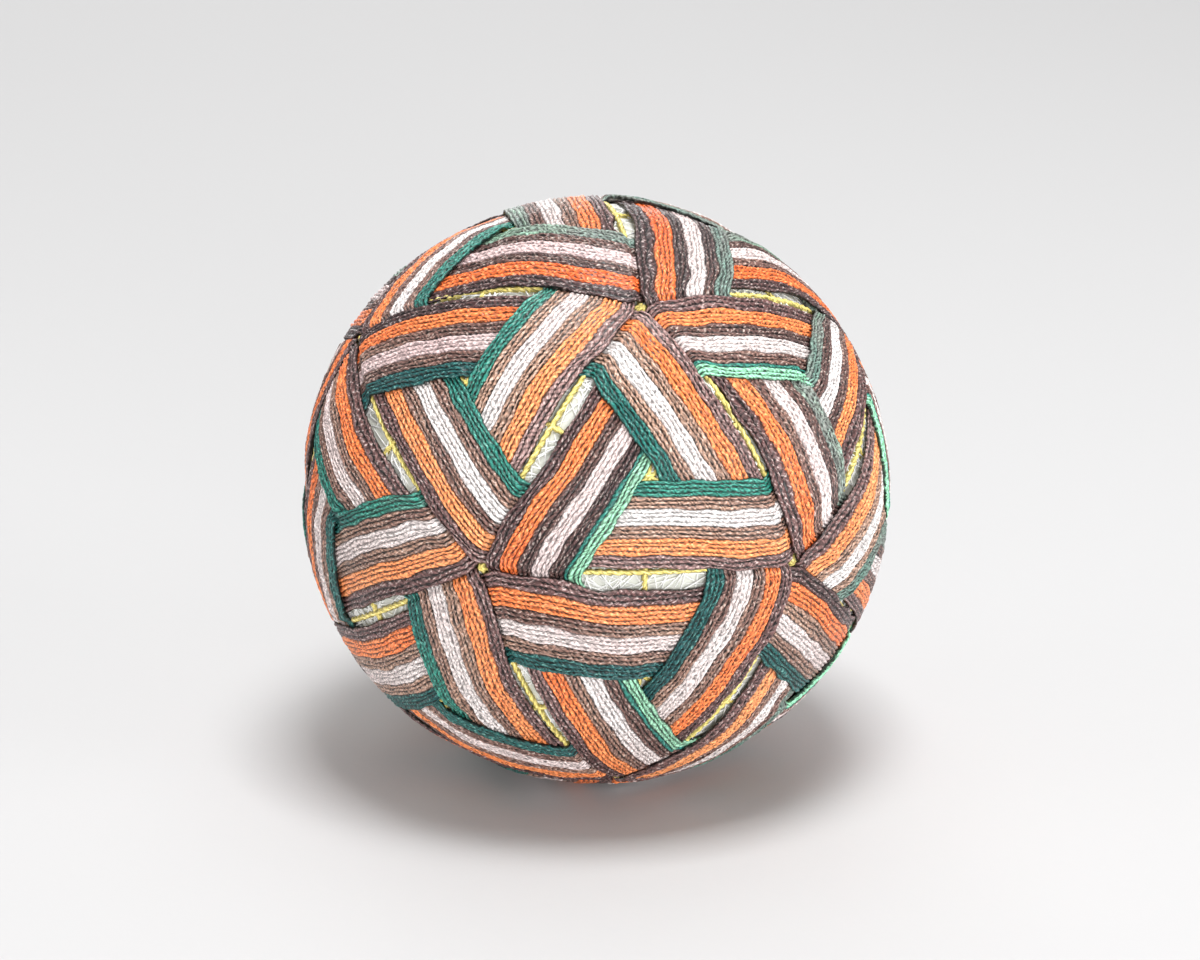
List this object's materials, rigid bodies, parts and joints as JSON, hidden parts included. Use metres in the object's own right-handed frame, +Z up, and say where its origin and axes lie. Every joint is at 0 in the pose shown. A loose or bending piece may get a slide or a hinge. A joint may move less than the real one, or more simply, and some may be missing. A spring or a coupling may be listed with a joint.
{
  "type": "temari ball",
  "caption": "Thread-wound ball covered with interlaced pentagon bands of striped embroidery thread, kept as an ornament or a toy.",
  "frame": {"origin": "under the middle of the ball, on the surface it rests on", "axes": "+Z up; the side shown in the picture faces -Y, with +X to its right"},
  "size_m": [0.0799, 0.0798, 0.0781],
  "materials": {
    "mari_thread": "fine matt white thread, wound in every direction",
    "band_thread": "glossy two-ply cotton in dark brown, orange, brown, pinkish white and green stripes",
    "marking_thread": "glossy two-ply cotton, yellow"
  },
  "bodies": {
    "root": {"mari": "mari_thread", "band_crown": "band_thread", "band_low_back": "band_thread", "band_front_right": "band_thread", "band_back_left": "band_thread", "band_right": "band_thread", "band_low_left": "band_thread", "band_top_back": "band_thread", "band_low_front": "band_thread", "band_left": "band_thread", "band_low_right": "band_thread", "band_front_left": "band_thread", "band_back_right": "band_thread", "marking_thread_back_left_to_back_right": "marking_thread", "marking_thread_back_left_to_left": "marking_thread", "marking_thread_back_left_to_low_left": "marking_thread", "marking_thread_back_left_to_top_back": "marking_thread", "marking_thread_crown_to_front_left": "marking_thread", "marking_thread_crown_to_front_right": "marking_thread", "marking_thread_crown_to_left": "marking_thread", "marking_thread_crown_to_right": "marking_thread", "marking_thread_crown_to_top_back": "marking_thread", "marking_thread_front_right_to_front_left": "marking_thread", "marking_thread_front_right_to_low_front": "marking_thread", "marking_thread_front_right_to_low_right": "marking_thread", "marking_thread_front_right_to_right": "marking_thread", "marking_thread_left_to_front_left": "marking_thread", "marking_thread_low_back_to_back_left": "marking_thread", "marking_thread_low_back_to_back_right": "marking_thread", "marking_thread_low_back_to_low_front": "marking_thread", "marking_thread_low_back_to_low_left": "marking_thread", "marking_thread_low_back_to_low_right": "marking_thread", "marking_thread_low_front_to_front_left": "marking_thread", "marking_thread_low_front_to_low_right": "marking_thread", "marking_thread_low_left_to_front_left": "marking_thread", "marking_thread_low_left_to_left": "marking_thread", "marking_thread_low_left_to_low_front": "marking_thread", "marking_thread_low_right_to_back_right": "marking_thread", "marking_thread_right_to_back_right": "marking_thread", "marking_thread_right_to_low_right": "marking_thread", "marking_thread_right_to_top_back": "marking_thread", "marking_thread_top_back_to_back_right": "marking_thread", "marking_thread_top_back_to_left": "marking_thread"}
  },
  "joints": []
}
